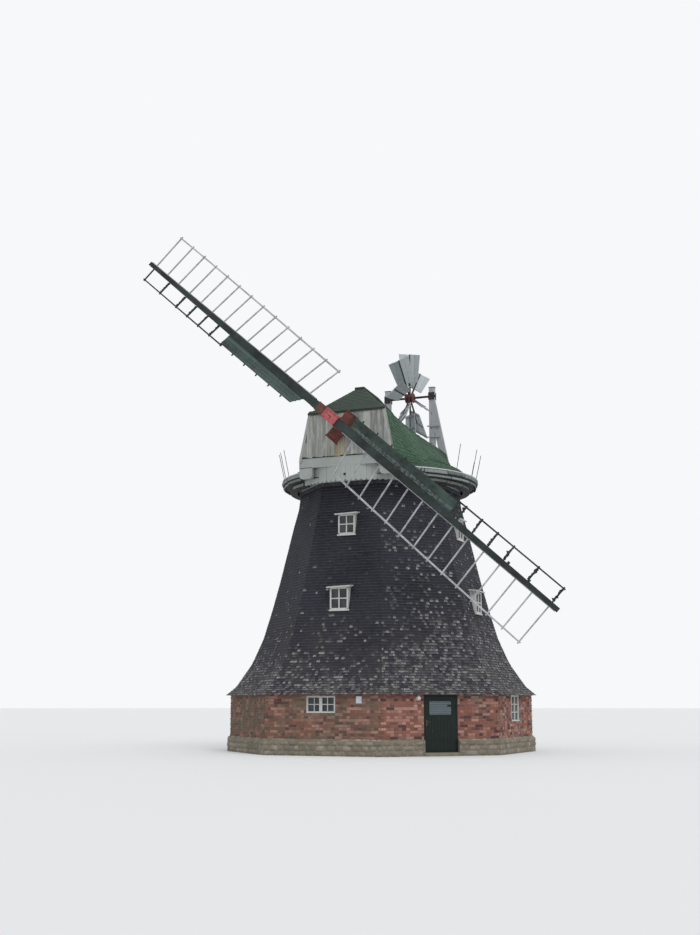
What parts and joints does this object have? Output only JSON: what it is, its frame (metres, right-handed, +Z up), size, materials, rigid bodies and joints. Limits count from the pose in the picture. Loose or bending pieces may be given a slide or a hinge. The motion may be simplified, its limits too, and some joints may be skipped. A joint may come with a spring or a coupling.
{
  "type": "smock windmill",
  "caption": "Smock windmill with a brick base, shingled tower, boat-shaped turning cap, two sails on one stock and a fantail.",
  "frame": {"origin": "centre of the octagonal base at ground level", "axes": "+Z up; -Y towards the corner of the base between the wall with the door and the wall with the wide window"},
  "size_m": [14.8421, 14.1934, 19.502],
  "materials": {
    "stone": "rough field stone",
    "brick": "fired brick, pale joints",
    "black_shingle": "tarred shingles, weathered",
    "floor_boards": "bare timber",
    "white_paint": "white paint, weathered",
    "window_glass": "clear",
    "door_green": "dark green paint",
    "grey_boards": "weathered pale paint",
    "roof_green": "green shingles",
    "poll_red": "red paint with rust",
    "sail_dark": "dark paint, chipped",
    "sail_light": "pale grey paint",
    "iron": "bare iron"
  },
  "bodies": {
    "tower": {"stone_plinth_a": "stone", "stone_plinth_b": "stone", "ground_floor": "stone", "brick_walls_a": "brick", "brick_walls_b": "brick", "wall_over_door": "brick", "smock_sides_a": "black_shingle", "smock_sides_b": "black_shingle", "floor_1": "floor_boards", "floor_2": "floor_boards", "curb_ring": "white_paint", "smock_window_frames": "white_paint", "window_hoods": "white_paint", "base_window_frames": "white_paint", "window_panes": "window_glass", "door_frame": "door_green", "wall_lamp": "white_paint"},
    "door": {"door_leaf": "door_green", "door_pane": "window_glass"},
    "cap": {"cap_ring": "floor_boards", "cap_sheers": "floor_boards", "cap_cross_beams": "floor_boards", "front_beam": "white_paint", "corbels": "white_paint", "petticoat": "white_paint", "front_wall": "grey_boards", "rear_wall": "grey_boards", "roof_left": "roof_green", "roof_right": "roof_green", "ridge_cap": "roof_green", "skirt": "grey_boards", "rods": "iron", "fan_posts": "grey_boards", "shaft_bearings": "floor_boards", "shaft_beams": "floor_boards"},
    "sails": {"windshaft": "poll_red", "canister_front": "poll_red", "canister_rear": "poll_red", "stock": "sail_dark", "lattice_upper": "sail_light", "lattice_lower": "sail_light", "leading_upper": "sail_dark", "leading_lower": "sail_dark"},
    "fantail": {"fan_wheel": "poll_red", "fan_blades": "grey_boards"}
  },
  "joints": [
    {"name": "door_hinge", "type": "hinge", "parent": "tower", "child": "door", "pos_m": [2.45876, -4.48047, 1], "axis": [0, 0, 1], "range_deg": [0, 110]},
    {"name": "cap_turn", "type": "hinge", "parent": "tower", "child": "cap", "pos_m": [0, 0, 9.632], "axis": [0, 0, 1], "continuous": true},
    {"name": "sails_turn", "type": "hinge", "parent": "cap", "child": "sails", "pos_m": [-1.74919, -4.40222, 11.511], "axis": [-0.3647, -0.918, 0.1559], "continuous": true},
    {"name": "fantail_turn", "type": "hinge", "parent": "cap", "child": "fantail", "pos_m": [1.26287, 3.1783, 13.96], "axis": [0.9293, -0.3693, 0], "continuous": true}
  ]
}
